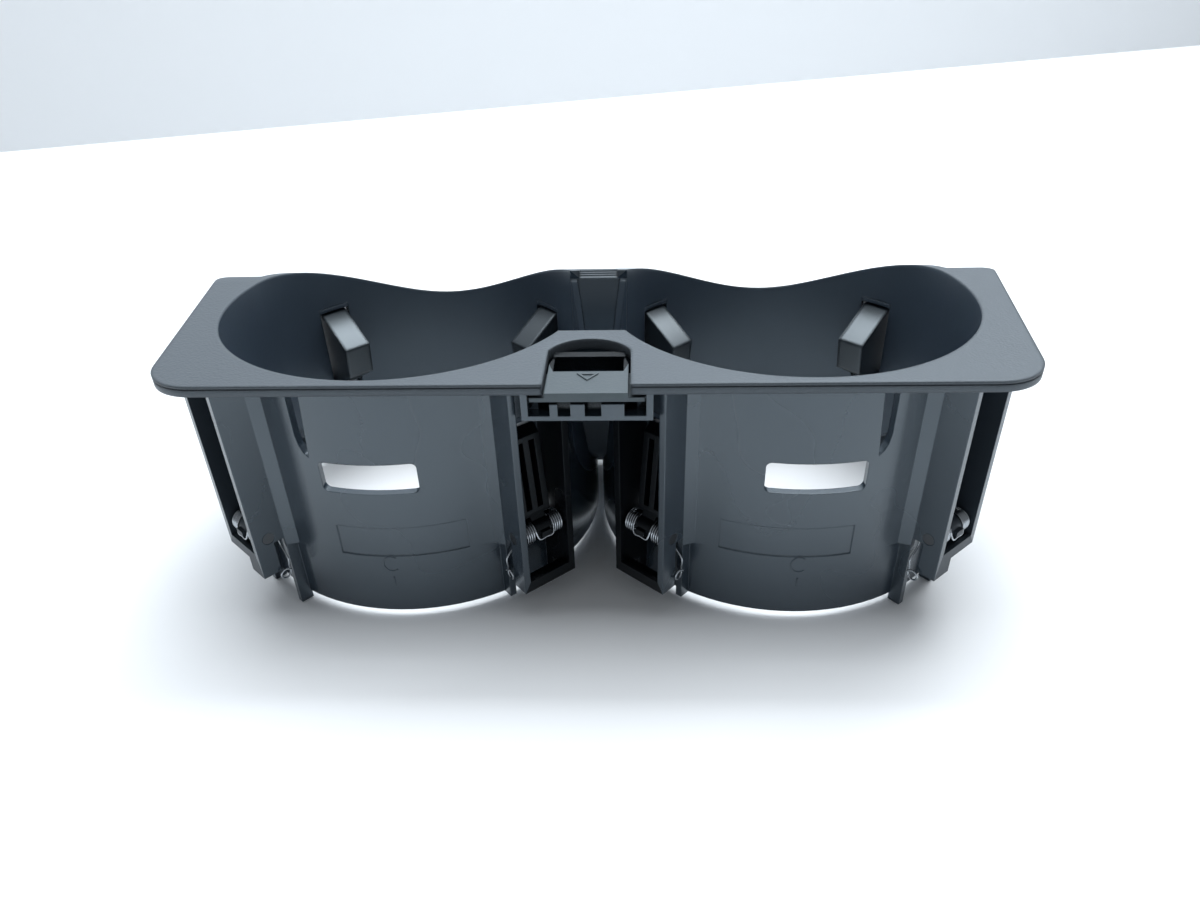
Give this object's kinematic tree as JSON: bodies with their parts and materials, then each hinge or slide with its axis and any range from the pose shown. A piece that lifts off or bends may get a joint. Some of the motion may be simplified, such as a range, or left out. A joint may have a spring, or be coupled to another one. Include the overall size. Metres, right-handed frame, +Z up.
{
  "type": "car cup holder",
  "caption": "Twin car cup holder insert with two open wells, sprung gripping arms in their walls and a slide latch in the front edge of its top flange.",
  "frame": {"origin": "middle of the standing surface, under the centre of the outline, latch included", "axes": "+X to the right seen from the front, +Y to the rear, +Z up out of the wells"},
  "size_m": [0.1872, 0.0873, 0.058],
  "materials": {
    "housing": "moulded dark grey, fine grain on the top flange and satin in the wells",
    "latch": "moulded dark grey, satin",
    "arm": "smooth dark grey with a soft shine",
    "pin": "plain drawn steel",
    "wire": "drawn spring steel wire"
  },
  "bodies": {
    "housing": {"housing": "housing", "latch_spring": "wire", "pin_left_front_outer": "pin", "pin_left_front_inner": "pin", "pin_left_rear_outer": "pin", "pin_left_rear_inner": "pin", "pin_right_front_outer": "pin", "pin_right_front_inner": "pin", "pin_right_rear_outer": "pin", "pin_right_rear_inner": "pin", "spring_left_front_outer": "wire", "spring_left_front_inner": "wire", "spring_left_rear_outer": "wire", "spring_left_rear_inner": "wire", "spring_right_front_outer": "wire", "spring_right_front_inner": "wire", "spring_right_rear_outer": "wire", "spring_right_rear_inner": "wire"},
    "latch": {"latch": "latch"},
    "arm_left_front_outer": {"arm_left_front_outer": "arm"},
    "arm_left_front_inner": {"arm_left_front_inner": "arm"},
    "arm_left_rear_outer": {"arm_left_rear_outer": "arm"},
    "arm_left_rear_inner": {"arm_left_rear_inner": "arm"},
    "arm_right_front_outer": {"arm_right_front_outer": "arm"},
    "arm_right_front_inner": {"arm_right_front_inner": "arm"},
    "arm_right_rear_outer": {"arm_right_rear_outer": "arm"},
    "arm_right_rear_inner": {"arm_right_rear_inner": "arm"}
  },
  "joints": [
    {"name": "left_front_outer_pivot", "type": "hinge", "parent": "housing", "child": "arm_left_front_outer", "pos_m": [-0.07423, -0.03577, 0.0202], "axis": [0.7547, -0.6561, 0], "range_deg": [0, 25], "stiffness_Nm_per_rad": 0.1, "springref_deg": -22.92, "deforming": ["spring_left_front_outer"]},
    {"name": "left_front_inner_pivot", "type": "hinge", "parent": "housing", "child": "arm_left_front_inner", "pos_m": [-0.01177, -0.03577, 0.0202], "axis": [0.7547, 0.6561, 0], "range_deg": [0, 25], "stiffness_Nm_per_rad": 0.1, "springref_deg": -22.92, "deforming": ["spring_left_front_inner"]},
    {"name": "left_rear_outer_pivot", "type": "hinge", "parent": "housing", "child": "arm_left_rear_outer", "pos_m": [-0.07666, 0.03381, 0.0202], "axis": [-0.7071, -0.7071, 0], "range_deg": [0, 25], "stiffness_Nm_per_rad": 0.1, "springref_deg": -22.92, "deforming": ["spring_left_rear_outer"]},
    {"name": "left_rear_inner_pivot", "type": "hinge", "parent": "housing", "child": "arm_left_rear_inner", "pos_m": [-0.00934, 0.03381, 0.0202], "axis": [-0.7071, 0.7071, 0], "range_deg": [0, 25], "stiffness_Nm_per_rad": 0.1, "springref_deg": -22.92, "deforming": ["spring_left_rear_inner"]},
    {"name": "right_front_outer_pivot", "type": "hinge", "parent": "housing", "child": "arm_right_front_outer", "pos_m": [0.07423, -0.03577, 0.0202], "axis": [0.7547, 0.6561, 0], "range_deg": [0, 25], "stiffness_Nm_per_rad": 0.1, "springref_deg": -22.92, "deforming": ["spring_right_front_outer"]},
    {"name": "right_front_inner_pivot", "type": "hinge", "parent": "housing", "child": "arm_right_front_inner", "pos_m": [0.01177, -0.03577, 0.0202], "axis": [0.7547, -0.6561, 0], "range_deg": [0, 25], "stiffness_Nm_per_rad": 0.1, "springref_deg": -22.92, "deforming": ["spring_right_front_inner"]},
    {"name": "right_rear_outer_pivot", "type": "hinge", "parent": "housing", "child": "arm_right_rear_outer", "pos_m": [0.07666, 0.03381, 0.0202], "axis": [-0.7071, 0.7071, 0], "range_deg": [0, 25], "stiffness_Nm_per_rad": 0.1, "springref_deg": -22.92, "deforming": ["spring_right_rear_outer"]},
    {"name": "right_rear_inner_pivot", "type": "hinge", "parent": "housing", "child": "arm_right_rear_inner", "pos_m": [0.00934, 0.03381, 0.0202], "axis": [-0.7071, -0.7071, 0], "range_deg": [0, 25], "stiffness_Nm_per_rad": 0.1, "springref_deg": -22.92, "deforming": ["spring_right_rear_inner"]},
    {"name": "latch_slide", "type": "slide", "parent": "housing", "child": "latch", "axis": [0, -1, 0], "range_m": [0, 0.003], "stiffness_N_per_m": 150, "springref_m": -0.005, "deforming": ["latch_spring"]}
  ]
}
